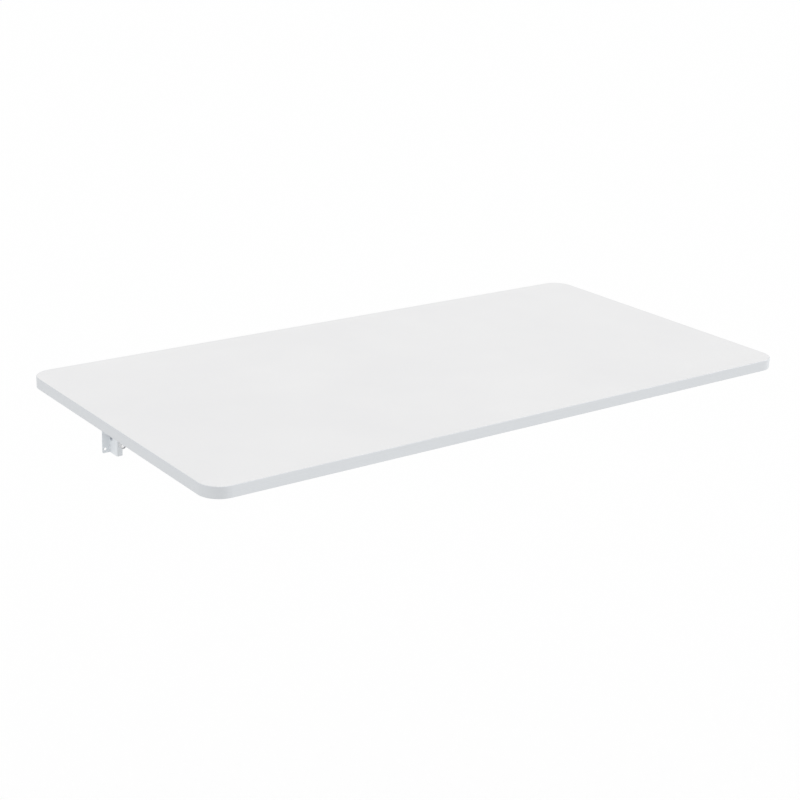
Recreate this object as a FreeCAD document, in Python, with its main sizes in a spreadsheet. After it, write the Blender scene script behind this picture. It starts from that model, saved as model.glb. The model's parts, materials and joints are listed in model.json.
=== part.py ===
import FreeCAD, Part
import math
import os
import re

import Sketcher

# Wall mounted drop leaf table, in millimetres: +X right seen from the room, +Y into the wall, +Z up.
# The wall is the plane Y = 0, and the origin is the centre of the wall screw holes.

# Driving sizes
SIZES = {
    # leaf
    "board_width": 1000,
    "board_depth": 500,
    "board_thickness": 16,
    "corner_radius": 30,
    "band_thickness": 1,
    "band_edge_radius": 0.8,
    "wall_gap": 3,
    # wall rails
    "bracket_inset": 128,
    "rail_height": 123,
    "rail_sheet": 1.5,
    "rail_bend_radius": 1,
    "channel_width": 10,
    "channel_depth": 24,
    "flange_width": 12,
    "flange_corner_radius": 1.5,
    "wall_hole_diameter": 4.5,
    "wall_hole_side_edge": 4.5,
    "wall_hole_end_edge": 6,
    "wall_hole_spacing": 84,
    "rail_top_gap": 6,
    # pivots
    "pivot_setback": 16,
    "pivot_spacing": 63.5,
    "pin_diameter": 6,
    "rivet_head_diameter": 11,
    "rivet_head_height": 2,
    "rivet_head_radius": 1.5,
    "spacer_diameter": 12,
    "running_clearance": 0.1,
    "side_clearance": 0.2,
    # arms
    "arm_sheet": 2,
    "arm_bend_radius": 1,
    "arm_corner_radius": 5,
    "arm_back": 10,
    "arm_reach": 392,
    "arm_pivot_drop": 19.5,
    "arm_pivot_land": 8,
    "arm_nose_height": 12,
    "arm_inner_clearance": 0.5,
    "cheek_taper_start": 130,
    "slot_land": 6.5,
    "slot_end_land": 18,
    "slot_end_rise": 8,
    # struts
    "strut_length": 250,
    "strut_sheet": 1.5,
    "strut_bend_radius": 1,
    "strut_height": 16,
    "strut_spacer": 2,
    "strut_fork": 55,
    "strut_eye": 18,
    # slide pins
    "bush_diameter": 9,
    "bush_flange_diameter": 13,
    "collar_diameter": 12,
    "collar_thickness": 2,
    # latch strips
    "strip_sheet": 1,
    "strip_width": 20,
    "strip_overhang": 8,
    "strip_tab": 12,
    "strip_past_pin": 32,
    "strip_hole_clearance": 0.4,
    "strip_bend_radius": 0.8,
    "strip_corner_radius": 4,
    "latch_rivet_diameter": 4,
    "latch_rivet_head": 7,
    "latch_rivet_height": 1.2,
    "latch_rivet_radius": 0.8,
    "latch_rivet_first": 148,
    "latch_rivet_pitch": 16,
    # fold buffers
    "buffer_drop": 88.5,
    "buffer_diameter": 9,
    "buffer_neck": 5,
    "buffer_head": 2.6,
    "buffer_head_radius": 0.5,
    "buffer_cup": 6.6,
    "buffer_cup_depth": 1.3,
    "buffer_lip_radius": 0.2,
    "buffer_block_height": 24,
    "buffer_back_gap": 2,
    "buffer_stop_gap": 0.3,
    "buffer_rivet_diameter": 2.4,
    "buffer_rivet_head": 0.6,
    "buffer_rivet_length": 20,
    "buffer_rivet_dimple": 1.6,
    "buffer_rivet_dimple_depth": 0.3,
    "eyelet_diameter": 5.5,
    "eyelet_bore": 1.9,
    "eyelet_rim": 7.5,
    "eyelet_rim_height": 0.8,
    "eyelet_rim_radius": 0.6,
    "eyelet_setback": 7,
    "eyelet_above_nose": 4.7,
    # screws that hold the arms to the leaf
    "screw_diameter": 4,
    "screw_grip": 11,
    "screw_head_diameter": 8,
    "screw_head_height": 2.3,
    "screw_head_radius": 1.2,
    "screw_hole_clearance": 0.25,
    "screw_first": 30,
    "screw_last_edge": 12,
}
SCREW_COUNT = 4
LATCH_RIVET_COUNT = 2
FULL_FOLD = 90
# points along half of the guide slot's outline, and the share of the fold that its heading is taken over
SLOT_STATIONS = 24
HEADING_STEP = 1e-4
# depth of a cut through one sheet, in sheets, half of it to each side of the sheet's face
SHEETS_CUT = 3

# Sizes and places that follow from the driving ones
LAYOUT = {
    # heights over the wall holes' centre
    "rail_bottom": "-wall_hole_spacing / 2 - wall_hole_end_edge",
    "rail_top": "rail_bottom + rail_height",
    "board_bottom": "rail_top + rail_top_gap",
    "arm_pivot_z": "board_bottom - arm_sheet - arm_pivot_drop",
    "strut_pivot_z": "arm_pivot_z - pivot_spacing",
    "buffer_z": "arm_pivot_z - buffer_drop",
    "eyelet_z": "buffer_z + eyelet_above_nose",
    # half widths, from a bracket's middle plane outwards
    "channel_half": "channel_width / 2",
    "channel_inside": "channel_half - rail_sheet",
    "flange_half": "channel_half + flange_width",
    "wall_hole_offset": "flange_half - wall_hole_side_edge",
    "strut_inside": "channel_half + strut_spacer",
    "strut_outside": "strut_inside + strut_sheet",
    "strut_rivet_grip": "strut_outside + side_clearance",
    "arm_inside": "strut_rivet_grip + rivet_head_height + arm_inner_clearance - side_clearance",
    "arm_outside": "arm_inside + arm_sheet",
    "arm_rivet_grip": "arm_outside + side_clearance",
    # screws along an arm
    "screw_row_length": "arm_reach - screw_first - screw_last_edge",
    "screw_pitch": f"screw_row_length / {SCREW_COUNT - 1}",
    # leaf
    "board_half": "board_width / 2",
    "panel_half": "board_half - band_thickness",
    "panel_corner_radius": "corner_radius - band_thickness",
    "bracket_half": "board_half - bracket_inset",
    # guide slot, from the arm's pivot: along the arm and above the pivot
    "lean_open": "asin((pivot_spacing + slot_end_rise) / strut_length)",
    "lean_folded": "asin(slot_end_rise / strut_length)",
    "slot_near": "strut_length * cos(lean_open)",
    "slot_far": "strut_length * cos(lean_folded) + pivot_spacing",
    "lean_halfway": "(lean_open + lean_folded) / 2",
    "slot_dip": f"strut_length * sin(lean_halfway) - pivot_spacing * cos({FULL_FOLD / 2} deg)",
    "slot_half": "bush_diameter / 2 + running_clearance",
    "cheek_low": "slot_dip - slot_half - slot_land",
    "slide_setback": "pivot_setback + slot_near",
    "slide_z": "arm_pivot_z + slot_end_rise",
    "bush_flange_end": "arm_inside - side_clearance",
    "bush_end": "arm_outside + side_clearance",
    # latch strips, from the arm's pivot
    "strip_back": "latch_rivet_first - strip_overhang",
    "strip_front": "slot_near + strip_past_pin",
    "strip_face": "arm_outside + strip_sheet",
    # fold buffers, from the wall into the room
    "buffer_front": "channel_depth - rail_sheet",
    "buffer_tip": "pivot_setback + arm_pivot_drop - buffer_stop_gap",
    "buffer_shoulder": "buffer_tip - buffer_head",
    "buffer_rivet_face": "buffer_tip - buffer_cup_depth",
    "buffer_rivet_seat": "buffer_rivet_face - buffer_rivet_head",
    "buffer_rivet_end": "buffer_rivet_seat - buffer_rivet_length",
    "web_under": "board_bottom - arm_sheet",
}

doc = FreeCAD.newDocument("drop_leaf_table")
sizes = doc.addObject("Spreadsheet::Sheet", "Sizes")
layout = doc.addObject("Spreadsheet::Sheet", "Layout")
home = {**dict.fromkeys(SIZES, sizes), **dict.fromkeys(LAYOUT, layout)}


def linked(text):
    def with_sheet(word):
        name = word[0]
        return f"{home[name].Name}.{name}" if name in home else name

    return re.sub(r"[a-z]\w*", with_sheet, text)


def size(name):
    found = home[name].get(name)
    return getattr(found, "Value", found)


for row, (name, number) in enumerate(SIZES.items(), 1):
    sizes.set(f"A{row}", name)
    sizes.set(f"B{row}", str(number))
    sizes.setAlias(f"B{row}", name)
for row, (name, rule) in enumerate(LAYOUT.items(), 1):
    layout.set(f"A{row}", name)
    layout.set(f"B{row}", "=" + linked(rule))
    layout.setAlias(f"B{row}", name)
doc.recompute()


# Steps that every piece is made from


def new_body(label, x="0", y="0", z="0"):
    body = doc.addObject("PartDesign::Body", label)
    body.Label = label
    body.AllowCompound = True
    for axis, place in zip("xyz", (x, y, z)):
        body.setExpression(f"Placement.Base.{axis}", linked(place))
    return body


def origin_part(body, role):
    return next(f for f in body.Origin.OriginFeatures if f.Role == role)


def sketch_on(body, role, offset=None):
    sketch = body.newObject("Sketcher::SketchObject", f"{body.Name}_sketch")
    sketch.AttachmentSupport = [(origin_part(body, role), "")]
    sketch.MapMode = "FlatFace"
    if offset:
        sketch.setExpression("AttachmentOffset.Base.z", linked(offset))
    return sketch


def dimension(sketch, kind, geometry, point, rule):
    first = (-1, 1, geometry, point) if point else (geometry,)
    index = sketch.addConstraint(Sketcher.Constraint(kind, *first, 1.0))
    sketch.setExpression(f"Constraints[{index}]", linked(rule))


def polygon(sketch, corners):
    # the corners start on a circle, and the dimensions then take each one to its place
    turns = [2 * math.pi * i / len(corners) for i in range(len(corners))]
    ring = [FreeCAD.Vector(math.cos(turn), math.sin(turn), 0) for turn in turns]
    lines = [
        sketch.addGeometry(Part.LineSegment(start, end), False)
        for start, end in zip(ring, ring[1:] + ring[:1])
    ]
    for line, following in zip(lines, lines[1:] + lines[:1]):
        sketch.addConstraint(Sketcher.Constraint("Coincident", line, 2, following, 1))
    for line, (across, up) in zip(lines, corners):
        dimension(sketch, "DistanceX", line, 1, across)
        dimension(sketch, "DistanceY", line, 1, up)


def rectangle(sketch, left, right, bottom, top):
    polygon(sketch, [(left, bottom), (right, bottom), (right, top), (left, top)])


def circle(sketch, across, up, diameter):
    ring = sketch.addGeometry(Part.Circle(FreeCAD.Vector(0, 0, 0), FreeCAD.Vector(0, 0, 1), 1.0), False)
    dimension(sketch, "DistanceX", ring, 3, across)
    dimension(sketch, "DistanceY", ring, 3, up)
    dimension(sketch, "Diameter", ring, None, diameter)


def pad(body, sketch, length, both_sides=False):
    feature = body.newObject("PartDesign::Pad", f"{body.Name}_pad")
    feature.Profile = sketch
    feature.SideType = "Symmetric" if both_sides else "One side"
    feature.setExpression("Length", linked(length))
    doc.recompute()
    return feature


def pocket(body, sketch, length=None):
    # a cut to both sides of its sketch, right through where no length is given
    before = body.Shape.Volume
    feature = body.newObject("PartDesign::Pocket", f"{body.Name}_pocket")
    feature.Profile = sketch
    feature.SideType = "Symmetric"
    if length:
        feature.setExpression("Length", linked(length))
    else:
        feature.Type = "ThroughAll"
    doc.recompute()
    if not body.Shape.Volume < before:
        raise ValueError(f"a cut in {body.Label} takes nothing away")
    return feature


def revolve(body, sketch, axis="H_Axis"):
    feature = body.newObject("PartDesign::Revolution", f"{body.Name}_turned")
    feature.Profile = sketch
    feature.ReferenceAxis = (sketch, [axis])
    doc.recompute()
    return feature


def round_edges(body, radius, chosen):
    base = body.Tip
    edges = [f"Edge{i}" for i, edge in enumerate(base.Shape.Edges, 1) if chosen(edge)]
    if not edges:
        raise ValueError(f"no edge of {body.Label} is chosen for {radius}")
    feature = body.newObject("PartDesign::Fillet", f"{body.Name}_fillet")
    feature.Base = (base, edges)
    feature.setExpression("Radius", linked(radius))
    doc.recompute()
    return feature


def near(a, b):
    return abs(a - b) < 1e-3


def runs_along(edge, axis):
    ends = [getattr(v.Point, axis) for v in edge.Vertexes]
    return len(ends) == 2 and near(abs(ends[0] - ends[1]), edge.Length)


def at(edge, **place):
    return all(near(getattr(edge.CenterOfMass, axis), value) for axis, value in place.items())


def either_side(edge, x, **place):
    return at(edge, x=x, **place) or at(edge, x=-x, **place)


# places along an arm, from its pivot
SCREW_PLACES = [f"(screw_first + screw_pitch * {step})" for step in range(SCREW_COUNT)]
LATCH_RIVET_PLACES = [
    f"(latch_rivet_first + latch_rivet_pitch * {step})" for step in range(LATCH_RIVET_COUNT)
]


# Leaf


def table_panel():
    body = new_body("table_panel", z="board_bottom")
    outline = sketch_on(body, "XY_Plane")
    rectangle(
        outline,
        "-panel_half",
        "panel_half",
        "-wall_gap - board_depth + band_thickness",
        "-wall_gap - band_thickness",
    )
    pad(body, outline, "board_thickness")
    round_edges(body, "panel_corner_radius", lambda edge: runs_along(edge, "z"))
    pilots = sketch_on(body, "XY_Plane")
    for side in ("-bracket_half", "bracket_half"):
        for along in SCREW_PLACES:
            circle(pilots, side, f"-pivot_setback - {along}", "screw_diameter")
    pocket(body, pilots, "screw_grip * 2")
    return body


def edge_band():
    body = new_body("edge_band", z="board_bottom")
    outline = sketch_on(body, "XY_Plane")
    rectangle(outline, "-board_half", "board_half", "-wall_gap - board_depth", "-wall_gap")
    pad(body, outline, "board_thickness")
    inside = sketch_on(body, "XY_Plane")
    rectangle(
        inside,
        "-panel_half",
        "panel_half",
        "-wall_gap - board_depth + band_thickness",
        "-wall_gap - band_thickness",
    )
    pocket(body, inside)

    def outer_corner(edge):
        return runs_along(edge, "z") and near(abs(edge.CenterOfMass.x), size("board_half"))

    def inner_corner(edge):
        return runs_along(edge, "z") and near(abs(edge.CenterOfMass.x), size("panel_half"))

    def outer_rim(edge):
        flat = near(edge.BoundBox.ZLength, 0)
        reach = max(abs(v.X) for v in edge.Vertexes)
        front = -size("wall_gap") - size("board_depth")
        outside = (
            near(reach, size("board_half"))
            or near(edge.BoundBox.YMin, front)
            or near(edge.BoundBox.YMax, -size("wall_gap"))
        )
        return flat and outside

    round_edges(body, "corner_radius", outer_corner)
    round_edges(body, "panel_corner_radius", inner_corner)
    round_edges(body, "band_edge_radius", outer_rim)
    return body


def arm_screws():
    # pan head screws, turned about Z and repeated along both arms
    body = new_body("arm_screws", "-bracket_half", "-pivot_setback - screw_first", "web_under")
    half = sketch_on(body, "XZ_Plane")
    polygon(
        half,
        [
            ("0", "-screw_head_height"),
            ("screw_head_diameter / 2", "-screw_head_height"),
            ("screw_head_diameter / 2", "0"),
            ("screw_diameter / 2", "0"),
            ("screw_diameter / 2", "arm_sheet + screw_grip - screw_diameter / 2"),
            ("0", "arm_sheet + screw_grip"),
        ],
    )
    turned = revolve(body, half, "V_Axis")
    low = -size("screw_head_height")
    rounded = round_edges(body, "screw_head_radius", lambda edge: near(edge.CenterOfMass.z, low))
    rows = body.newObject("PartDesign::LinearPattern", "arm_screws_rows")
    rows.Originals = [turned, rounded]
    rows.Direction = (origin_part(body, "Y_Axis"), [""])
    rows.Reversed = True
    rows.Occurrences = SCREW_COUNT
    rows.setExpression("Length", linked("screw_row_length"))
    rows.Direction2 = (origin_part(body, "X_Axis"), [""])
    rows.Occurrences2 = 2
    rows.setExpression("Length2", linked("bracket_half * 2"))
    body.Tip = rows
    doc.recompute()
    return body


# Wall rails


def wall_rail(side, middle):
    body = new_body(f"{side}_wall_rail", middle)
    section = sketch_on(body, "XY_Plane", "rail_bottom")
    left = [
        ("-channel_inside", "0"),
        ("-flange_half", "0"),
        ("-flange_half", "-rail_sheet"),
        ("-channel_half", "-rail_sheet"),
        ("-channel_half", "-channel_depth"),
    ]
    right = [(across[1:], along) for across, along in reversed(left)]
    front = "rail_sheet - channel_depth"
    inside = [("channel_inside", front), ("-channel_inside", front)]
    polygon(section, left + right + inside)
    pad(body, section, "rail_height")

    def upright(edge, half, depth):
        return runs_along(edge, "z") and either_side(edge, size(half), y=-depth)

    sheet, depth = size("rail_sheet"), size("channel_depth")
    outer_bend = "rail_bend_radius + rail_sheet"
    round_edges(body, outer_bend, lambda edge: upright(edge, "channel_half", depth))
    round_edges(body, "rail_bend_radius", lambda edge: upright(edge, "channel_inside", depth - sheet))
    round_edges(body, "rail_bend_radius", lambda edge: upright(edge, "channel_half", sheet))
    round_edges(body, outer_bend, lambda edge: upright(edge, "channel_inside", 0))
    round_edges(
        body,
        "flange_corner_radius",
        lambda edge: runs_along(edge, "y") and either_side(edge, size("flange_half")),
    )
    wall_holes = sketch_on(body, "XZ_Plane")
    for across in ("-wall_hole_offset", "wall_hole_offset"):
        for up in ("-wall_hole_spacing / 2", "wall_hole_spacing / 2"):
            circle(wall_holes, across, up, "wall_hole_diameter")
    circle(wall_holes, "0", "buffer_z", "buffer_neck")
    pocket(body, wall_holes)
    pivots = sketch_on(body, "YZ_Plane")
    circle(pivots, "-pivot_setback", "arm_pivot_z", "pin_diameter")
    circle(pivots, "-pivot_setback", "strut_pivot_z", "pin_diameter")
    circle(pivots, "-eyelet_setback", "eyelet_z", "eyelet_diameter")
    pocket(body, pivots)
    return body


def rivet(label, middle, z, grip):
    # a headed pin across the bracket, turned about X
    body = new_body(label, middle, "-pivot_setback", z)
    half = sketch_on(body, "XY_Plane")
    left = [
        (f"-{grip} - rivet_head_height", "0"),
        (f"-{grip} - rivet_head_height", "rivet_head_diameter / 2"),
        (f"-{grip}", "rivet_head_diameter / 2"),
        (f"-{grip}", "pin_diameter / 2"),
    ]
    right = [
        (f"{grip}", "pin_diameter / 2"),
        (f"{grip}", "rivet_head_diameter / 2"),
        (f"{grip} + rivet_head_height", "rivet_head_diameter / 2"),
        (f"{grip} + rivet_head_height", "0"),
    ]
    polygon(half, left + right)
    revolve(body, half)
    end = size(grip) + size("rivet_head_height")
    round_edges(body, "rivet_head_radius", lambda edge: near(abs(edge.CenterOfMass.x), end))
    return body


def pair_of_rings(label, middle, y, z, outline):
    # two rings mirrored in the bracket's middle plane, turned about X
    body = new_body(label, middle, y, z)
    half = sketch_on(body, "XY_Plane")
    polygon(half, outline)
    polygon(half, [(f"-({across})", radius) for across, radius in outline])
    revolve(body, half)
    return body


def spacers(label, middle, z, outer):
    outline = [
        ("channel_half", "pin_diameter / 2"),
        (f"{outer} - side_clearance", "pin_diameter / 2"),
        (f"{outer} - side_clearance", "spacer_diameter / 2"),
        ("channel_half", "spacer_diameter / 2"),
    ]
    return pair_of_rings(label, middle, "-pivot_setback", z, outline)


def fold_buffer(side, middle):
    body = new_body(f"{side}_fold_buffer", middle, z="buffer_z")
    block = sketch_on(body, "XY_Plane")
    rectangle(block, "-channel_inside", "channel_inside", "-buffer_front", "-buffer_back_gap")
    pad(body, block, "buffer_block_height", both_sides=True)
    front = size("buffer_front")
    round_edges(
        body,
        "rail_bend_radius",
        lambda edge: runs_along(edge, "z") and either_side(edge, size("channel_inside"), y=-front),
    )
    neck = sketch_on(body, "XZ_Plane", "buffer_front")
    circle(neck, "0", "0", "buffer_neck")
    pad(body, neck, "buffer_shoulder - buffer_front")
    head = sketch_on(body, "XZ_Plane", "buffer_shoulder")
    circle(head, "0", "0", "buffer_diameter")
    pad(body, head, "buffer_head")
    rims = -size("buffer_shoulder"), -size("buffer_tip")
    round_edges(
        body,
        "buffer_head_radius",
        lambda edge: any(near(edge.CenterOfMass.y, rim) for rim in rims)
        and near(edge.BoundBox.XLength, size("buffer_diameter")),
    )
    # the rivet's head sits in a cup, and its shank in a bore below it
    bores = {"buffer_cup": "buffer_rivet_seat", "buffer_rivet_diameter": "buffer_rivet_end"}
    for diameter, bottom in bores.items():
        bore = sketch_on(body, "XZ_Plane", "buffer_tip")
        circle(bore, "0", "0", diameter)
        pocket(body, bore, f"2 * (buffer_tip - {bottom})")
    round_edges(
        body,
        "buffer_lip_radius",
        lambda edge: near(edge.CenterOfMass.y, -size("buffer_tip"))
        and near(edge.BoundBox.XLength, size("buffer_cup")),
    )
    across = sketch_on(body, "YZ_Plane")
    circle(across, "-eyelet_setback", "eyelet_above_nose", "eyelet_diameter")
    pocket(body, across)
    return body


def buffer_rivet(side, middle):
    # a blind rivet along the plug, turned about Y, with its head sunk in the plug's cup
    body = new_body(f"{side}_buffer_rivet", middle, z="buffer_z")
    half = sketch_on(body, "XY_Plane")
    polygon(
        half,
        [
            ("0", "buffer_rivet_dimple_depth - buffer_rivet_face"),
            ("buffer_rivet_dimple / 2", "buffer_rivet_dimple_depth - buffer_rivet_face"),
            ("buffer_rivet_dimple / 2", "-buffer_rivet_face"),
            ("buffer_cup / 2", "-buffer_rivet_face"),
            ("buffer_cup / 2", "-buffer_rivet_seat"),
            ("buffer_rivet_diameter / 2", "-buffer_rivet_seat"),
            ("buffer_rivet_diameter / 2", "-buffer_rivet_end"),
            ("0", "-buffer_rivet_end"),
        ],
    )
    revolve(body, half, "V_Axis")
    return body


def buffer_eyelet(side, middle):
    body = new_body(f"{side}_buffer_eyelet", middle, "-eyelet_setback", "eyelet_z")
    half = sketch_on(body, "XY_Plane")
    polygon(
        half,
        [
            ("-channel_half - eyelet_rim_height", "eyelet_bore / 2"),
            ("-channel_half - eyelet_rim_height", "eyelet_rim / 2"),
            ("-channel_half", "eyelet_rim / 2"),
            ("-channel_half", "eyelet_diameter / 2"),
            ("channel_half", "eyelet_diameter / 2"),
            ("channel_half", "eyelet_rim / 2"),
            ("channel_half + eyelet_rim_height", "eyelet_rim / 2"),
            ("channel_half + eyelet_rim_height", "eyelet_bore / 2"),
        ],
    )
    revolve(body, half)
    rim_face, rim = size("channel_half") + size("eyelet_rim_height"), size("eyelet_rim")
    round_edges(
        body,
        "eyelet_rim_radius",
        lambda edge: either_side(edge, rim_face) and near(edge.BoundBox.ZLength, rim),
    )
    return body


# Arms


def guide_point(share):
    # the slide pin's place from the arm's pivot, when the leaf is folded by a share of its travel
    # the strut's lean changes evenly with the fold, and the slot's curve follows it
    lean = math.radians(size("lean_open") + (size("lean_folded") - size("lean_open")) * share)
    turn = math.radians(FULL_FOLD * share)
    along = size("strut_length") * math.cos(lean) + size("pivot_spacing") * math.sin(turn)
    above = size("strut_length") * math.sin(lean) - size("pivot_spacing") * math.cos(turn)
    return FreeCAD.Vector(0, -along, above)


def guide_slot(label):
    # the slot's outline: the guide curve moved to both sides, closed by round ends
    middle, heading = [], []
    for station in range(SLOT_STATIONS + 1):
        share = station / SLOT_STATIONS
        before, after = guide_point(share - HEADING_STEP), guide_point(share + HEADING_STEP)
        middle.append(guide_point(share))
        heading.append((after - before).normalize())
    half = size("slot_half")
    sideways = [FreeCAD.Vector(0, -ahead.z, ahead.y) for ahead in heading]
    upper = [point + across * half for point, across in zip(middle, sideways)]
    lower = [point - across * half for point, across in zip(middle, sideways)]
    edges = []
    for points in (upper, lower):
        curve = Part.BSplineCurve()
        curve.interpolate(points)
        edges.append(curve.toShape())
    for end, sign in ((0, -1), (-1, 1)):
        tip = middle[end] + heading[end] * half * sign
        edges.append(Part.Arc(upper[end], tip, lower[end]).toShape())
    face = Part.Face(Part.Wire(Part.__sortEdges__(edges)))
    reach = size("arm_outside") * 2
    slot = doc.addObject("Part::Feature", label)
    slot.Shape = face.translated(FreeCAD.Vector(-reach / 2, 0, 0)).extrude(FreeCAD.Vector(reach, 0, 0))
    return slot


def arm(side, middle, inward):
    place = (middle, "-pivot_setback", "arm_pivot_z")
    body = new_body(f"{side}_arm_channel", *place)
    cheek = sketch_on(body, "YZ_Plane")
    top = "arm_pivot_drop + arm_sheet"
    polygon(
        cheek,
        [
            ("arm_back", top),
            ("-arm_reach", top),
            ("-arm_reach", f"{top} - arm_nose_height"),
            ("-slot_far - slot_half - slot_end_land", "cheek_low"),
            ("-slot_near + slot_half + slot_end_land", "cheek_low"),
            ("-cheek_taper_start", "-arm_pivot_land"),
            ("arm_back", "-arm_pivot_land"),
        ],
    )
    pad(body, cheek, "arm_outside * 2", both_sides=True)
    round_edges(
        body,
        "arm_corner_radius",
        lambda edge: runs_along(edge, "x") and edge.CenterOfMass.z < size("arm_pivot_drop"),
    )
    hollow = sketch_on(body, "XZ_Plane")
    rectangle(hollow, "-arm_inside", "arm_inside", "-strut_length", "arm_pivot_drop")
    pocket(body, hollow)
    round_edges(
        body,
        "arm_bend_radius + arm_sheet",
        lambda edge: runs_along(edge, "y")
        and either_side(edge, size("arm_outside"), z=size("arm_pivot_drop") + size("arm_sheet")),
    )
    round_edges(
        body,
        "arm_bend_radius",
        lambda edge: runs_along(edge, "y")
        and either_side(edge, size("arm_inside"), z=size("arm_pivot_drop")),
    )
    pivot = sketch_on(body, "YZ_Plane")
    circle(pivot, "0", "0", "pin_diameter + 2 * running_clearance")
    pocket(body, pivot)
    rivets = sketch_on(body, "YZ_Plane", f"{inward} * arm_outside")
    for along in LATCH_RIVET_PLACES:
        circle(rivets, f"-{along}", "slot_end_rise", "latch_rivet_diameter")
    pocket(body, rivets, f"arm_sheet * {SHEETS_CUT}")
    screws = sketch_on(body, "XY_Plane", top)
    for along in SCREW_PLACES:
        circle(screws, "0", f"-{along}", "screw_diameter + 2 * screw_hole_clearance")
    pocket(body, screws, f"arm_sheet * {SHEETS_CUT}")
    slot = guide_slot(f"{side}_guide_slot")
    for axis, rule in zip("xyz", place):
        slot.setExpression(f"Placement.Base.{axis}", linked(rule))
    cut = doc.addObject("Part::Cut", f"{side}_arm")
    cut.Label = f"{side}_arm"
    cut.Base = body
    cut.Tool = slot
    doc.recompute()
    return cut


# Struts


def strut(side, middle):
    body = new_body(f"{side}_strut", middle, "-pivot_setback", "strut_pivot_z")
    body.Placement.Rotation = FreeCAD.Rotation(FreeCAD.Vector(1, 0, 0), -1)
    body.setExpression("Placement.Rotation.Angle", linked("-lean_open"))
    outline = sketch_on(body, "YZ_Plane")
    rectangle(outline, "-strut_length", "0", "-strut_height / 2", "strut_height / 2")
    pad(body, outline, "strut_outside * 2", both_sides=True)

    def bend(edge, half, low):
        return runs_along(edge, "y") and either_side(edge, size(half), z=low - size("strut_height") / 2)

    round_edges(body, "strut_bend_radius + strut_sheet", lambda edge: bend(edge, "strut_outside", 0))
    for end in ("0", "-strut_length"):
        eye = sketch_on(body, "YZ_Plane")
        circle(eye, end, "0", "strut_height")
        pad(body, eye, "strut_outside * 2", both_sides=True)
    hollow = sketch_on(body, "YZ_Plane")
    web = "strut_sheet - strut_height / 2"
    polygon(
        hollow,
        [
            ("strut_height", "strut_height"),
            ("-strut_length - strut_height", "strut_height"),
            ("-strut_length - strut_height", "-strut_height"),
            ("strut_eye - strut_length", "-strut_height"),
            ("strut_eye - strut_length", web),
            ("-strut_fork", web),
            ("-strut_fork", "-strut_height"),
            ("strut_height", "-strut_height"),
        ],
    )
    pocket(body, hollow, "strut_inside * 2")
    inner = size("strut_sheet")
    round_edges(body, "strut_bend_radius", lambda edge: bend(edge, "strut_inside", inner))
    holes = sketch_on(body, "YZ_Plane")
    circle(holes, "0", "0", "pin_diameter + 2 * running_clearance")
    circle(holes, "-strut_length", "0", "pin_diameter")
    pocket(body, holes)
    return body


def slide_pin(side, middle, inward):
    # headed on the outer side, with the collar and a round nose on the side towards the leaf's middle
    body = new_body(f"{side}_slide_pin", middle, "-slide_setback", "slide_z")
    half = sketch_on(body, "XY_Plane")
    nose = "bush_end + collar_thickness"
    outline = [
        ("-bush_end - rivet_head_height", "0"),
        ("-bush_end - rivet_head_height", "rivet_head_diameter / 2"),
        ("-bush_end", "rivet_head_diameter / 2"),
        ("-bush_end", "pin_diameter / 2"),
        (nose, "pin_diameter / 2"),
        (nose, "0"),
    ]
    polygon(half, [(f"{inward} * ({across})", radius) for across, radius in outline])
    revolve(body, half)
    head = -inward * (size("bush_end") + size("rivet_head_height"))
    round_edges(body, "rivet_head_radius", lambda edge: near(edge.CenterOfMass.x, head))
    return body


def pin_collar(side, middle, inward):
    # its outer rim is chamfered, so the latch strip rides up on it and drops over it
    body = new_body(f"{side}_pin_collar", middle, "-slide_setback", "slide_z")
    half = sketch_on(body, "XY_Plane")
    lead = "collar_thickness / 2"
    outline = [
        ("bush_end", "pin_diameter / 2"),
        ("bush_end", "collar_diameter / 2"),
        (f"bush_end + {lead}", "collar_diameter / 2"),
        ("bush_end + collar_thickness", f"collar_diameter / 2 - {lead}"),
        ("bush_end + collar_thickness", "pin_diameter / 2"),
    ]
    polygon(half, [(f"{inward} * ({across})", radius) for across, radius in outline])
    revolve(body, half)
    return body


def slide_bushes(side, middle):
    outline = [
        ("strut_outside", "pin_diameter / 2"),
        ("bush_end", "pin_diameter / 2"),
        ("bush_end", "bush_diameter / 2"),
        ("bush_flange_end", "bush_diameter / 2"),
        ("bush_flange_end", "bush_flange_diameter / 2"),
        ("strut_outside", "bush_flange_diameter / 2"),
    ]
    return pair_of_rings(f"{side}_slide_bushes", middle, "-slide_setback", "slide_z", outline)


# Latches


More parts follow.
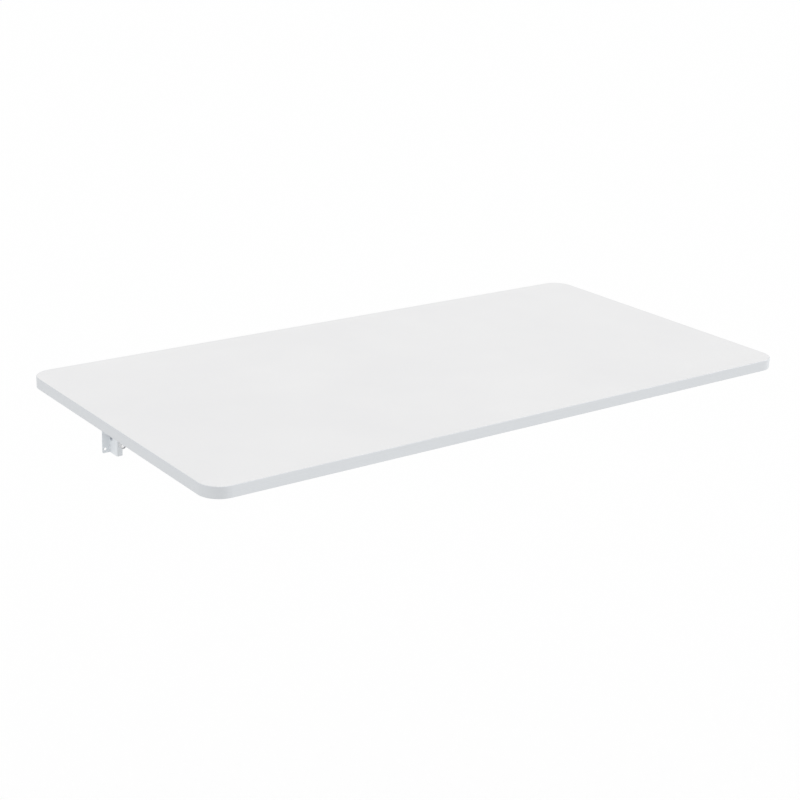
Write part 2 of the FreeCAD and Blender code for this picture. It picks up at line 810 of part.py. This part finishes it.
def latch_strip(side, middle, inward):
    body = new_body(f"{side}_latch_strip", middle, "-pivot_setback", "slide_z")
    section = sketch_on(body, "XY_Plane")
    outline = [
        ("arm_outside", "-strip_back"),
        ("strip_face", "-strip_back"),
        ("strip_face", "strip_sheet - strip_front"),
        ("strip_face + strip_tab", "strip_sheet - strip_front"),
        ("strip_face + strip_tab", "-strip_front"),
        ("arm_outside", "-strip_front"),
    ]
    polygon(section, [(f"{inward} * ({across})", along) for across, along in outline])
    pad(body, section, "strip_width", both_sides=True)
    front, sheet = size("strip_front"), size("strip_sheet")
    face, tab_end = size("strip_face"), size("strip_face") + size("strip_tab")

    def bend(edge, half, along):
        return runs_along(edge, "z") and either_side(edge, half, y=along)

    def corner(edge):
        on_tab = runs_along(edge, "y") and near(abs(edge.CenterOfMass.x), tab_end)
        on_back = runs_along(edge, "x") and near(edge.CenterOfMass.y, -size("strip_back"))
        return on_tab or on_back

    round_edges(body, "strip_bend_radius", lambda edge: bend(edge, face, sheet - front))
    round_edges(
        body,
        "strip_bend_radius + strip_sheet",
        lambda edge: bend(edge, size("arm_outside"), -front),
    )
    round_edges(body, "strip_corner_radius", corner)
    holes = sketch_on(body, "YZ_Plane", f"{inward} * strip_face")
    circle(holes, "-slot_near", "0", "collar_diameter + 2 * strip_hole_clearance")
    for along in LATCH_RIVET_PLACES:
        circle(holes, f"-{along}", "0", "latch_rivet_diameter")
    pocket(body, holes, f"strip_sheet * {SHEETS_CUT}")
    return body


def latch_rivets():
    # alike at both ends, so one rivet repeats along each strip and from arm to arm
    body = new_body("latch_rivets", "-bracket_half", "-pivot_setback - latch_rivet_first", "slide_z")
    half = sketch_on(body, "XY_Plane")
    polygon(
        half,
        [
            ("arm_inside - latch_rivet_height", "0"),
            ("arm_inside - latch_rivet_height", "latch_rivet_head / 2"),
            ("arm_inside", "latch_rivet_head / 2"),
            ("arm_inside", "latch_rivet_diameter / 2"),
            ("strip_face", "latch_rivet_diameter / 2"),
            ("strip_face", "latch_rivet_head / 2"),
            ("strip_face + latch_rivet_height", "latch_rivet_head / 2"),
            ("strip_face + latch_rivet_height", "0"),
        ],
    )
    turned = revolve(body, half)
    ends = size("arm_inside") - size("latch_rivet_height"), size("strip_face") + size("latch_rivet_height")
    rounded = round_edges(
        body,
        "latch_rivet_radius",
        lambda edge: any(near(edge.CenterOfMass.x, end) for end in ends),
    )
    rows = body.newObject("PartDesign::LinearPattern", "latch_rivets_rows")
    rows.Originals = [turned, rounded]
    rows.Direction = (origin_part(body, "Y_Axis"), [""])
    rows.Reversed = True
    rows.Occurrences = LATCH_RIVET_COUNT
    rows.setExpression("Length", linked("latch_rivet_pitch"))
    rows.Direction2 = (origin_part(body, "X_Axis"), [""])
    rows.Occurrences2 = 2
    rows.setExpression("Length2", linked("bracket_half * 2 - arm_inside - strip_face"))
    body.Tip = rows
    doc.recompute()
    return body


def bracket(side, middle, inward):
    return [
        wall_rail(side, middle),
        rivet(f"{side}_arm_pivot_pin", middle, "arm_pivot_z", "arm_rivet_grip"),
        spacers(f"{side}_arm_spacers", middle, "arm_pivot_z", "arm_inside"),
        rivet(f"{side}_strut_pivot_pin", middle, "strut_pivot_z", "strut_rivet_grip"),
        spacers(f"{side}_strut_spacers", middle, "strut_pivot_z", "strut_inside"),
        fold_buffer(side, middle),
        buffer_rivet(side, middle),
        buffer_eyelet(side, middle),
        arm(side, middle, inward),
        strut(side, middle),
        slide_pin(side, middle, inward),
        pin_collar(side, middle, inward),
        slide_bushes(side, middle),
        latch_strip(side, middle, inward),
    ]


pieces = [table_panel(), edge_band(), arm_screws(), latch_rivets()]
pieces += bracket("left", "-bracket_half", 1)
pieces += bracket("right", "bracket_half", -1)

doc.recompute()
for item in doc.Objects:
    if {"Invalid", "Error"} & set(item.State):
        raise ValueError(f"{item.Label} has failed: {item.State}")
for piece in pieces:
    if piece.Shape.isNull() or not piece.Shape.isValid():
        raise ValueError(f"{piece.Label} has no valid shape")

os.makedirs("parts", exist_ok=True)
for piece in pieces:
    piece.Shape.exportStep(f"parts/{piece.Label}.step")
    print(piece.Label, len(piece.Shape.Solids), round(piece.Shape.Volume, 1))
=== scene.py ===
import json
import math

import bmesh
import bpy
from mathutils import Matrix, Vector


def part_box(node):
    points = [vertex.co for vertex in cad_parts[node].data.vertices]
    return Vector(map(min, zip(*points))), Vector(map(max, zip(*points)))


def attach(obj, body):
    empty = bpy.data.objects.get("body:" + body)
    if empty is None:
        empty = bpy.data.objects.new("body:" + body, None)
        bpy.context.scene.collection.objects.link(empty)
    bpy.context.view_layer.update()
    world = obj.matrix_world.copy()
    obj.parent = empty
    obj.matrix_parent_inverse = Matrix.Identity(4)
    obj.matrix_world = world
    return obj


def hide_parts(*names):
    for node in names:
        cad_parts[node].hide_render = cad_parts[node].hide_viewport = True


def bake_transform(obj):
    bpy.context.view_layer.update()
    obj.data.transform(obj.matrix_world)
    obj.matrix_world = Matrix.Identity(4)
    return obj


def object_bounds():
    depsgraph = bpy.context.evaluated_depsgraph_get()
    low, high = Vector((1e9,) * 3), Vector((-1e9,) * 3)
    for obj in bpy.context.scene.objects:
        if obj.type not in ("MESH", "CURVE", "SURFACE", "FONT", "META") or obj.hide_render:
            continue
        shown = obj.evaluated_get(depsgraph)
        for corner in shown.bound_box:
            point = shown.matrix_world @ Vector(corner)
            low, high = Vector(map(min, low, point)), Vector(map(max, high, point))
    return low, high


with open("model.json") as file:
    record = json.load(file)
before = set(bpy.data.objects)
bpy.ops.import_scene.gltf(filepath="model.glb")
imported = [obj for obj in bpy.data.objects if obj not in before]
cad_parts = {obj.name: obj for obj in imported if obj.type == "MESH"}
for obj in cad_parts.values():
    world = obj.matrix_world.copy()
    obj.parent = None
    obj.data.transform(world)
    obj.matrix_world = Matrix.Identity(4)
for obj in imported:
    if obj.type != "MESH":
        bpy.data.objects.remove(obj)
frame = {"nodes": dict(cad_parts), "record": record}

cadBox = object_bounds()
scene = bpy.context.scene
mm = 0.001  # the scene is in metres, sizes below are in millimetres where nothing else is said

# camera, at the photograph's viewing angle
cameraKit = {
    "place": (-1.3874, -2.0193, 0.8374),  # metres from the centre of the wall screws
    "azimuth": 37.4741,  # degrees to the left of straight at the wall
    "elevation": 19.5224,
    "roll": 2.3041,
    "lens": 72.5,
    "sensor": 36,
}


def makeCamera(kit):
    data = bpy.data.cameras.new("photoCamera")
    data.sensor_width = kit["sensor"]
    data.lens = kit["lens"]
    camera = bpy.data.objects.new("photoCamera", data)
    scene.collection.objects.link(camera)
    pan = Matrix.Rotation(math.radians(-kit["azimuth"]), 4, "Z")
    tilt = Matrix.Rotation(math.radians(90 - kit["elevation"]), 4, "X")
    roll = Matrix.Rotation(math.radians(kit["roll"]), 4, "Z")
    camera.matrix_world = Matrix.Translation(kit["place"]) @ pan @ tilt @ roll
    scene.camera = camera


makeCamera(cameraKit)
print("camera set")


def toLinear(hexColour):
    parts = [int(hexColour[i : i + 2], 16) / 255 for i in (1, 3, 5)]
    return [c / 12.92 if c <= 0.04045 else ((c + 0.055) / 1.055) ** 2.4 for c in parts] + [1.0]


def perMetre(size):
    return 1 / (size * mm)  # texture scale for features of that many millimetres


def addNode(tree, kind, settings={}, inputs={}, links={}):
    node = tree.nodes.new(kind)
    for name, value in settings.items():
        setattr(node, name, value)
    for name, value in inputs.items():
        node.inputs[name].default_value = value
    for name, source in links.items():
        tree.links.new(source, node.inputs[name])
    return node


def newMaterial(name):
    material = bpy.data.materials.new(name)
    material.use_nodes = True
    material.node_tree.nodes.clear()
    return material, material.node_tree


# stage: pale floor, white surroundings, a broad soft light from each side of the camera
stageKit = {
    "floorDrop": 1.3,  # metres from the leaf's top, so the shadow falls below the picture
    "floorHalf": 40,  # metres
    "floorColour": "#DEDEDE",
    "floorRoughness": 0.9,
    "floorLift": 0.285,  # what the camera sees on top of the light that falls on the floor
    "white": "#FFFFFF",
    "skyLight": 0.77,
    "lamps": {  # strength, and the side that the light comes from
        "leftLight": (0.4055, (-0.95, 0.15, 0.42)),
        "rightLight": (1.258, (0.9, -0.45, 0.415)),
    },
    "lampAngle": 30,  # degrees across, for soft shadows
}


# 1 where the stage is looked at, straight, in a gloss or through glass, and 0 where it only lights the object
def seenStage(tree):
    path = addNode(tree, "ShaderNodeLightPath")
    mirrored = addNode(tree, "ShaderNodeMath", {"operation": "MAXIMUM"},
                       links={0: path.outputs["Is Camera Ray"], 1: path.outputs["Is Glossy Ray"]})
    seen = addNode(tree, "ShaderNodeMath", {"operation": "MAXIMUM"},
                   links={0: mirrored.outputs[0], 1: path.outputs["Is Transmission Ray"]})
    return seen.outputs[0]


def makeFloor(kit):
    bm = bmesh.new()
    bmesh.ops.create_grid(bm, x_segments=1, y_segments=1, size=kit["floorHalf"])
    bmesh.ops.translate(bm, verts=bm.verts, vec=(0, 0, cadBox[1][2] - kit["floorDrop"]))
    mesh = bpy.data.meshes.new("floor")
    bm.to_mesh(mesh)
    bm.free()
    floor = bpy.data.objects.new("floor", mesh)
    scene.collection.objects.link(floor)
    material, tree = newMaterial("matt white floor")
    lift = addNode(tree, "ShaderNodeMapRange", inputs={"To Max": kit["floorLift"]},
                   links={"Value": seenStage(tree)})
    paint = addNode(tree, "ShaderNodeBsdfPrincipled",
                    inputs={"Base Color": toLinear(kit["floorColour"]), "Roughness": kit["floorRoughness"],
                            "Specular IOR Level": 0.0, "Emission Color": toLinear(kit["white"])},
                    links={"Emission Strength": lift.outputs[0]})
    # clear from below, so the leaf's underside can be looked at
    clear = addNode(tree, "ShaderNodeBsdfTransparent")
    under = addNode(tree, "ShaderNodeNewGeometry")
    either = addNode(tree, "ShaderNodeMixShader",
                     links={0: under.outputs["Backfacing"], 1: paint.outputs[0], 2: clear.outputs[0]})
    addNode(tree, "ShaderNodeOutputMaterial", links={"Surface": either.outputs[0]})
    mesh.materials.append(material)


def makeLight(kit):
    world = bpy.data.worlds.new("white surroundings")
    scene.world = world
    world.use_nodes = True
    tree = world.node_tree
    tree.nodes.clear()
    strength = addNode(tree, "ShaderNodeMapRange", inputs={"To Min": kit["skyLight"]},
                       links={"Value": seenStage(tree)})
    sky = addNode(tree, "ShaderNodeBackground", inputs={"Color": toLinear(kit["white"])},
                  links={"Strength": strength.outputs[0]})
    addNode(tree, "ShaderNodeOutputWorld", links={"Surface": sky.outputs[0]})
    for name, (energy, side) in kit["lamps"].items():
        sun = bpy.data.lights.new(name, "SUN")
        sun.energy = energy
        sun.angle = math.radians(kit["lampAngle"])
        lamp = bpy.data.objects.new(name, sun)
        lamp.rotation_euler = Vector(side).to_track_quat("Z", "Y").to_euler()
        scene.collection.objects.link(lamp)


makeFloor(stageKit)
makeLight(stageKit)
scene.view_settings.view_transform = "Standard"
print("floor and light set")

mixFrom, mixTo, mixResult = 6, 7, 2  # a colour mix's sockets, which share their names with its other kinds


# what every finish ends in: colour between its shade and its light, a roughness range and a fine relief
def dressSurface(tree, kit, tone, gloss, height, cupShadeMask=None):
    tint = addNode(tree, "ShaderNodeMix", {"data_type": "RGBA"},
                   inputs={mixFrom: toLinear(kit["shade"]), mixTo: toLinear(kit["light"])}, links={0: tone})
    # where a mask is given, it paints shade in its own dark colour over the tint
    if cupShadeMask:
        tint = addNode(tree, "ShaderNodeMix", {"data_type": "RGBA"}, inputs={mixTo: toLinear(kit["cupShadeColour"])},
                       links={0: cupShadeMask, mixFrom: tint.outputs[mixResult]})
    sheen = addNode(tree, "ShaderNodeMapRange",
                    inputs={"To Min": kit["roughness"][0], "To Max": kit["roughness"][1]},
                    links={"Value": gloss})
    relief = addNode(tree, "ShaderNodeBump",
                     inputs={"Strength": kit["reliefStrength"], "Distance": kit["reliefDepth"] * mm},
                     links={"Height": height})
    surface = addNode(tree, "ShaderNodeBsdfPrincipled", inputs=kit["shader"],
                      links={"Base Color": tint.outputs[mixResult], "Roughness": sheen.outputs[0],
                             "Normal": relief.outputs[0]})
    addNode(tree, "ShaderNodeOutputMaterial", links={"Surface": surface.outputs[0]})


# white melamine facing: resin soaked paper pressed on chipboard, an even silk white with a fine pearl
# texture and very faint clouds, grey enough at a low angle to show the sheen
melamineKit = {
    "shade": "#E9E9EA",
    "light": "#F0F0F0",
    "clouds": 140,
    "cloudDetail": 3.0,
    "pearl": 2.4,  # the real pearl is about 0.5, drawn coarser so that it shows
    "pearlDetail": 2.0,
    "reliefDepth": 0.03,
    "reliefStrength": 0.5,
    "roughness": (0.4, 0.5),
    "shader": {"IOR": 1.5},
}


def melamineFacing(kit):
    material, tree = newMaterial("white melamine facing")
    place = addNode(tree, "ShaderNodeTexCoord")
    clouds = addNode(tree, "ShaderNodeTexNoise",
                     inputs={"Scale": perMetre(kit["clouds"]), "Detail": kit["cloudDetail"]},
                     links={"Vector": place.outputs["Object"]})
    pearl = addNode(tree, "ShaderNodeTexNoise",
                    inputs={"Scale": perMetre(kit["pearl"]), "Detail": kit["pearlDetail"]},
                    links={"Vector": place.outputs["Object"]})
    dressSurface(tree, kit, clouds.outputs["Fac"], pearl.outputs["Fac"], pearl.outputs["Fac"])
    return material


# white ABS edge band: an extruded tape glued round the board, satin, with faint draw lines along it
bandKit = {
    "shade": "#DADDE0",
    "light": "#E2E5E8",
    "lineSize": (160, 160, 0.9),  # long round the board, thin up its edge
    "lineDetail": 2.0,
    "reliefDepth": 0.02,
    "reliefStrength": 0.5,
    "roughness": (0.36, 0.5),
    "shader": {"IOR": 1.53},
}

# cold rolled spring steel: a darker grey metal with fine rolling lines along the strip
springKit = {
    "shade": "#8A8D92",
    "light": "#B4B7BB",
    "lineSize": (0.5, 40, 0.5),
    "lineDetail": 2.0,
    "reliefDepth": 0.008,
    "reliefStrength": 0.4,
    "roughness": (0.24, 0.4),
    "shader": {"Metallic": 1.0},
}


def linedSheet(name, kit):
    material, tree = newMaterial(name)
    place = addNode(tree, "ShaderNodeTexCoord")
    drawn = addNode(tree, "ShaderNodeMapping", inputs={"Scale": [perMetre(size) for size in kit["lineSize"]]},
                    links={"Vector": place.outputs["Object"]})
    lines = addNode(tree, "ShaderNodeTexNoise", inputs={"Scale": 1.0, "Detail": kit["lineDetail"]},
                    links={"Vector": drawn.outputs[0]})
    dressSurface(tree, kit, lines.outputs["Fac"], lines.outputs["Fac"], lines.outputs["Fac"])
    return material


# white powder coat: melted polyester powder on folded steel, a cool semi gloss white with orange peel
powderKit = {
    "shade": "#EAEEF2",
    "light": "#F0F4F7",
    "clouds": 25,
    "cloudDetail": 2.0,
    "peel": 2.2,
    "peelSmoothness": 1.0,
    "reliefDepth": 0.06,
    "reliefStrength": 0.6,
    "roughness": (0.3, 0.44),
    "shader": {"IOR": 1.5},
}


def powderCoat(kit):
    material, tree = newMaterial("white powder coat")
    place = addNode(tree, "ShaderNodeTexCoord")
    clouds = addNode(tree, "ShaderNodeTexNoise",
                     inputs={"Scale": perMetre(kit["clouds"]), "Detail": kit["cloudDetail"]},
                     links={"Vector": place.outputs["Object"]})
    peel = addNode(tree, "ShaderNodeTexVoronoi", {"feature": "SMOOTH_F1"},
                   inputs={"Scale": perMetre(kit["peel"]), "Smoothness": kit["peelSmoothness"]},
                   links={"Vector": place.outputs["Object"]})
    dressSurface(tree, kit, clouds.outputs["Fac"], clouds.outputs["Fac"], peel.outputs["Distance"])
    return material


# bright zinc plating on turned steel: a bluish silver, clear in the middle of a face and cloudier in patches
zincKit = {
    "shade": "#AEB3BA",
    "light": "#D2D5D9",
    "clouds": 2.5,
    "cloudDetail": 3.0,
    "grain": 0.5,
    "reliefDepth": 0.01,
    "reliefStrength": 0.4,
    "roughness": (0.22, 0.42),
    "shader": {"Metallic": 1.0},
}

# bright aluminium of a headed rivet: a pale clear silver that mirrors the white room
aluminiumKit = {
    "shade": "#E9E9EB",
    "light": "#F4F4F5",
    "clouds": 1.5,
    "cloudDetail": 3.0,
    "grain": 0.4,
    "reliefDepth": 0.006,
    "reliefStrength": 0.4,
    "roughness": (0.2, 0.34),
    "shader": {"Metallic": 1.0},
}

# moulded nylon: a milky white with the fine spark texture of its mould
nylonKit = {
    "shade": "#D9D8D4",
    "light": "#E8E7E3",
    "clouds": 6,
    "cloudDetail": 2.0,
    "grain": 0.6,
    "reliefDepth": 0.03,
    "reliefStrength": 0.5,
    "roughness": (0.42, 0.58),
    "shader": {"IOR": 1.53},
}


def cloudyGrain(name, kit):
    material, tree = newMaterial(name)
    place = addNode(tree, "ShaderNodeTexCoord")
    clouds = addNode(tree, "ShaderNodeTexNoise",
                     inputs={"Scale": perMetre(kit["clouds"]), "Detail": kit["cloudDetail"]},
                     links={"Vector": place.outputs["Object"]})
    grain = addNode(tree, "ShaderNodeTexNoise", inputs={"Scale": perMetre(kit["grain"])},
                    links={"Vector": place.outputs["Object"]})
    dressSurface(tree, kit, clouds.outputs["Fac"], clouds.outputs["Fac"], grain.outputs["Fac"])
    return material


# nylon plug with painted shade on the inside wall of its cup: a dark grey that stands in for the shade in the
# cup and shows as a ring round the bright rivet
plugKit = {
    "shade": "#DADBDC",
    "light": "#E0E1E2",
    # painted shade: the dark grey put on the cup's inside wall
    "cupShadeColour": "#A2A4A6",
    "seam": 0.2,  # over which the painted cup shade fades out
    "clouds": 6,
    "cloudDetail": 2.0,
    "grain": 0.6,
    "reliefDepth": 0.03,
    "reliefStrength": 0.5,
    "roughness": (0.42, 0.6),  # the nylon's, and that of the cup's painted shade
    "shader": {"IOR": 1.53},
}


def nylonWithPaintedCupShade(kit):
    material, tree = newMaterial("moulded nylon with painted cup shade")
    low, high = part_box("right_buffer_rivet")
    cupRadius, seam = (high.x - low.x) / 2, kit["seam"] * mm
    toAxis = (-(low.x + high.x) / 2, 0, (low.z + high.z) / 2)  # the plugs lie below the origin
    place = addNode(tree, "ShaderNodeTexCoord")
    bothSides = addNode(tree, "ShaderNodeVectorMath", {"operation": "ABSOLUTE"},
                        links={0: place.outputs["Object"]})  # left and right plugs are alike
    fromAxis = addNode(tree, "ShaderNodeMapping", inputs={"Location": toAxis, "Scale": (1, 0, 1)},
                       links={"Vector": bothSides.outputs[0]})
    radius = addNode(tree, "ShaderNodeVectorMath", {"operation": "LENGTH"}, links={0: fromAxis.outputs[0]})
    inner = addNode(tree, "ShaderNodeMapRange", inputs={"From Min": cupRadius + seam, "From Max": cupRadius},
                    links={"Value": radius.outputs["Value"]})
    parts = addNode(tree, "ShaderNodeSeparateXYZ", links={0: place.outputs["Object"]})
    overRivet = addNode(tree, "ShaderNodeMapRange", inputs={"From Min": low.y + seam, "From Max": low.y},
                        links={"Value": parts.outputs["Y"]})
    # mask of the painted shade: the cup's inside wall, in front of the rivet
    cupShadeMask = addNode(tree, "ShaderNodeMath", {"operation": "MULTIPLY"},
                    links={0: inner.outputs[0], 1: overRivet.outputs[0]})
    clouds = addNode(tree, "ShaderNodeTexNoise",
                     inputs={"Scale": perMetre(kit["clouds"]), "Detail": kit["cloudDetail"]},
                     links={"Vector": place.outputs["Object"]})
    grain = addNode(tree, "ShaderNodeTexNoise", inputs={"Scale": perMetre(kit["grain"])},
                    links={"Vector": place.outputs["Object"]})
    dressSurface(tree, kit, clouds.outputs["Fac"], cupShadeMask.outputs[0], grain.outputs["Fac"], cupShadeMask.outputs[0])
    return material


finishes = {
    "melamine_board": melamineFacing(melamineKit),
    "edge_band": linedSheet("white ABS edge band", bandKit),
    "powder_coated_steel": powderCoat(powderKit),
    "zinc_steel": cloudyGrain("zinc plated steel", zincKit),
    "bright_aluminium": cloudyGrain("bright aluminium", aluminiumKit),
    "spring_steel": linedSheet("cold rolled spring steel", springKit),
    "white_nylon": cloudyGrain("moulded white nylon", nylonKit),
}
plugFinish = nylonWithPaintedCupShade(plugKit)
for row in frame["record"]["subparts"]:
    finish = plugFinish if row["node"].endswith("fold_buffer") else finishes[row["material_slot"]]
    for holder in frame["nodes"][row["node"]].material_slots:
        holder.material = finish
print("finishes on", len(frame["nodes"]), "solids")


def newPiece(name, bm, slotName):
    bmesh.ops.recalc_face_normals(bm, faces=bm.faces)
    mesh = bpy.data.meshes.new(name)
    bm.to_mesh(mesh)
    bm.free()
    mesh.materials.append(finishes[slotName])
    piece = bpy.data.objects.new(name, mesh)
    scene.collection.objects.link(piece)
    return piece


# pan head screws under both arms, with a cross recess in each head
screwKit = {
    "perArm": 4,
    "steps": 32,  # segments round the head
    "headRadius": 4.0,
    "headHeight": 2.3,
    "edgeRadius": 1.3,  # the head's rounded rim
    "edgeSteps": 5,
    "shankRadius": 1.95,
    "shankLength": 13,
    "recessLength": 2.1,  # half of the cross, tip to middle
    "recessWidth": 0.55,  # half of one bar's width
    "recessDepth": 1.5,
    "recessTaper": 0.55,  # the recess floor's share of its mouth
    "recessTurn": 17,  # degrees between one screw's cross and the next one's
    "weld": 1e-4,
}


def screwHead(bm, kit, middle, turn):
    low = -kit["headHeight"]
    profile = [
        (0, kit["shankLength"]),
        (kit["shankRadius"], kit["shankLength"] - kit["shankRadius"]),
        (kit["shankRadius"], 0),
        (kit["headRadius"], 0),
    ]
    for i in range(kit["edgeSteps"] + 1):
        angle = math.pi / 2 * i / kit["edgeSteps"]
        profile.append((kit["headRadius"] - kit["edgeRadius"] * (1 - math.cos(angle)),
                        low + kit["edgeRadius"] * (1 - math.sin(angle))))
    chain = [bm.verts.new((r * mm, 0, z * mm)) for r, z in profile]
    edges = [bm.edges.new(pair) for pair in zip(chain, chain[1:])]
    bmesh.ops.spin(bm, geom=chain + edges, cent=(0, 0, 0), axis=(0, 0, 1), angle=math.tau, steps=kit["steps"],
                   use_merge=True)
    bmesh.ops.remove_doubles(bm, verts=bm.verts, dist=kit["weld"] * mm)
    rim = [e for e in bm.edges if e.is_boundary]
    a, b = kit["recessLength"] * mm, kit["recessWidth"] * mm
    outline = [(a, -b), (a, b), (b, b), (b, a), (-b, a), (-b, b),
               (-a, b), (-a, -b), (-b, -b), (-b, -a), (b, -a), (b, -b)]
    cross = [bm.verts.new((x, y, low * mm)) for x, y in outline]
    crossEdges = [bm.edges.new(pair) for pair in zip(cross, cross[1:] + cross[:1])]
    bmesh.ops.triangle_fill(bm, use_beauty=True, edges=rim + crossEdges)
    inside = [f for f in bm.faces if all(v in cross for v in f.verts)]
    bmesh.ops.delete(bm, geom=inside, context="FACES_ONLY")
    deeper = bmesh.ops.extrude_edge_only(bm, edges=crossEdges)["geom"]
    floorVerts = [v for v in deeper if isinstance(v, bmesh.types.BMVert)]
    floorEdges = [e for e in deeper if isinstance(e, bmesh.types.BMEdge)]
    bmesh.ops.scale(bm, vec=(kit["recessTaper"], kit["recessTaper"], 1), verts=floorVerts)
    bmesh.ops.translate(bm, vec=(0, 0, kit["recessDepth"] * mm), verts=floorVerts)
    bmesh.ops.triangle_fill(bm, use_beauty=True, edges=floorEdges)
    bmesh.ops.rotate(bm, cent=(0, 0, 0), matrix=Matrix.Rotation(math.radians(turn), 3, "Z"), verts=bm.verts)
    bmesh.ops.translate(bm, vec=middle, verts=bm.verts)


def makeScrews(kit):
    low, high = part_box("arm_screws")
    armSide = (high.x - low.x) / 2 - kit["headRadius"] * mm
    first, last = high.y - kit["headRadius"] * mm, low.y + kit["headRadius"] * mm
    underArm = low.z + kit["headHeight"] * mm
    whole = bmesh.new()
    for i in range(kit["perArm"] * 2):
        row, onRight = divmod(i, 2)
        across = armSide if onRight else -armSide
        along = first + (last - first) * row / (kit["perArm"] - 1)
        one = bmesh.new()
        screwHead(one, kit, (across, along, underArm), i * kit["recessTurn"])
        part = bpy.data.meshes.new("screw")
        one.to_mesh(part)
        one.free()
        whole.from_mesh(part)
        bpy.data.meshes.remove(part)
    screws = newPiece("armScrews", whole, "zinc_steel")
    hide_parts("arm_screws")
    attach(screws, "leaf")


makeScrews(screwKit)
print("screws made")

# latch strips: the solid's own form, cut into short lengths from its front rivet towards its pin collar
stripKit = {
    "cuts": 13,
    "flatByCollar": 14,  # what stays straight behind the collar
    "weld": 1e-3,
}


def makeStrip(kit, side):
    name = side + "_latch_strip"
    bm = bmesh.new()
    bm.from_mesh(frame["nodes"][name].data)
    weld = kit["weld"] * mm
    bmesh.ops.remove_doubles(bm, verts=bm.verts, dist=weld)
    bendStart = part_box("latch_rivets")[0].y  # the front rivet's edge
    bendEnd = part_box(side + "_pin_collar")[1].y + kit["flatByCollar"] * mm
    for i in range(kit["cuts"]):
        along = bendStart + (bendEnd - bendStart) * i / (kit["cuts"] - 1)
        bmesh.ops.bisect_plane(bm, geom=bm.verts[:] + bm.edges[:] + bm.faces[:], dist=weld,
                               plane_co=(0, along, 0), plane_no=(0, 1, 0))
    strip = newPiece(side + "LatchStrip", bm, "spring_steel")
    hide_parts(name)
    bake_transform(strip)


for side in ("left", "right"):
    makeStrip(stripKit, side)
print("latch strips made")
